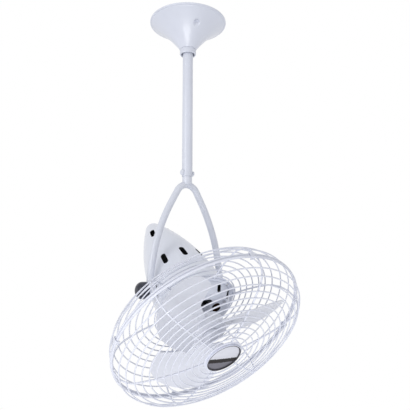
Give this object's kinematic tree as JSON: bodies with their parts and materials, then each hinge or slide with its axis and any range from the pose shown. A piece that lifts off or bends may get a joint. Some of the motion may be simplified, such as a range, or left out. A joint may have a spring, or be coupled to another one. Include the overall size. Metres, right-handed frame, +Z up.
{
  "type": "directional ceiling fan",
  "caption": "Ceiling fan whose caged head tilts and clamps in a tubular yoke on a downrod, with a flared canopy, a vented motor housing, pitched blades and wire guards.",
  "frame": {"origin": "centre of the bracket plate's upper face, where it is screwed to the ceiling", "axes": "+Z up into the ceiling along the downrod, X along the tilt axis with the hand knob on the -X side, -Y the way the fan faces"},
  "size_m": [0.461, 0.4565, 0.9706],
  "materials": {
    "white_paint": "smooth semi-gloss white paint with a faint lavender tint",
    "guard_paint": "semi-gloss white paint on welded wire",
    "blade_paint": "semi-gloss white paint on curved sheet",
    "galvanised_steel": "dull zinc-plated steel",
    "bright_steel": "bright zinc-plated fasteners, shaft and studs",
    "laminations": "stacked electrical steel",
    "copper_winding": "varnished copper windings",
    "knob_plastic": "dark grey matt plastic",
    "ball_nylon": "dark nylon",
    "washer_fibre": "dark fibre friction material",
    "terminal_plastic": "off-white nylon",
    "capacitor_case": "light plastic case",
    "badge_metal": "satin aluminium with a plain face",
    "bezel_paint": "light lavender paint"
  },
  "bodies": {
    "mount": {"ceiling_bracket": "galvanised_steel", "canopy": "white_paint", "canopy_collar": "white_paint", "canopy_screws": "white_paint", "hanger_ball": "ball_nylon", "hanger_pin": "bright_steel", "terminal_block": "terminal_plastic", "downrod": "white_paint", "yoke": "white_paint", "yoke_bolt": "white_paint", "yoke_nut": "white_paint"},
    "head": {"rear_housing": "white_paint", "front_housing": "white_paint", "flange_screws": "bright_steel", "flange_nuts": "bright_steel", "tilt_bosses": "white_paint", "tilt_studs": "bright_steel", "friction_washers": "washer_fibre", "tilt_cap": "white_paint", "stator_core": "laminations", "stator_windings": "copper_winding", "front_bearing": "bright_steel", "rear_bearing": "bright_steel", "bearing_plate": "galvanised_steel", "motor_bolts": "bright_steel", "capacitor": "capacitor_case", "capacitor_clamp": "galvanised_steel", "rear_guard": "guard_paint", "guard_clamp_ring": "white_paint", "front_guard": "guard_paint", "guard_clips": "guard_paint", "badge": "badge_metal", "badge_bezel": "bezel_paint", "badge_screws": "bright_steel"},
    "rotor": {"motor_shaft": "bright_steel", "rotor_core": "laminations", "blade_spider": "blade_paint", "blade_1": "blade_paint", "blade_2": "blade_paint", "blade_3": "blade_paint", "blade_rivets": "blade_paint", "spinner_nut": "blade_paint"},
    "knob": {"tilt_knob": "knob_plastic"}
  },
  "joints": [
    {"name": "head_tilt", "type": "hinge", "parent": "mount", "child": "head", "pos_m": [0, 0, -0.7], "axis": [-1, 0, 0], "range_deg": [-136, 44]},
    {"name": "fan_spin", "type": "hinge", "parent": "head", "child": "rotor", "pos_m": [0, 0, -0.7], "axis": [0, -0.7193, -0.6947], "continuous": true},
    {"name": "knob_turn", "type": "hinge", "parent": "head", "child": "knob", "pos_m": [0, 0, -0.7], "axis": [-1, 0, 0], "range_deg": [0, 180]}
  ]
}
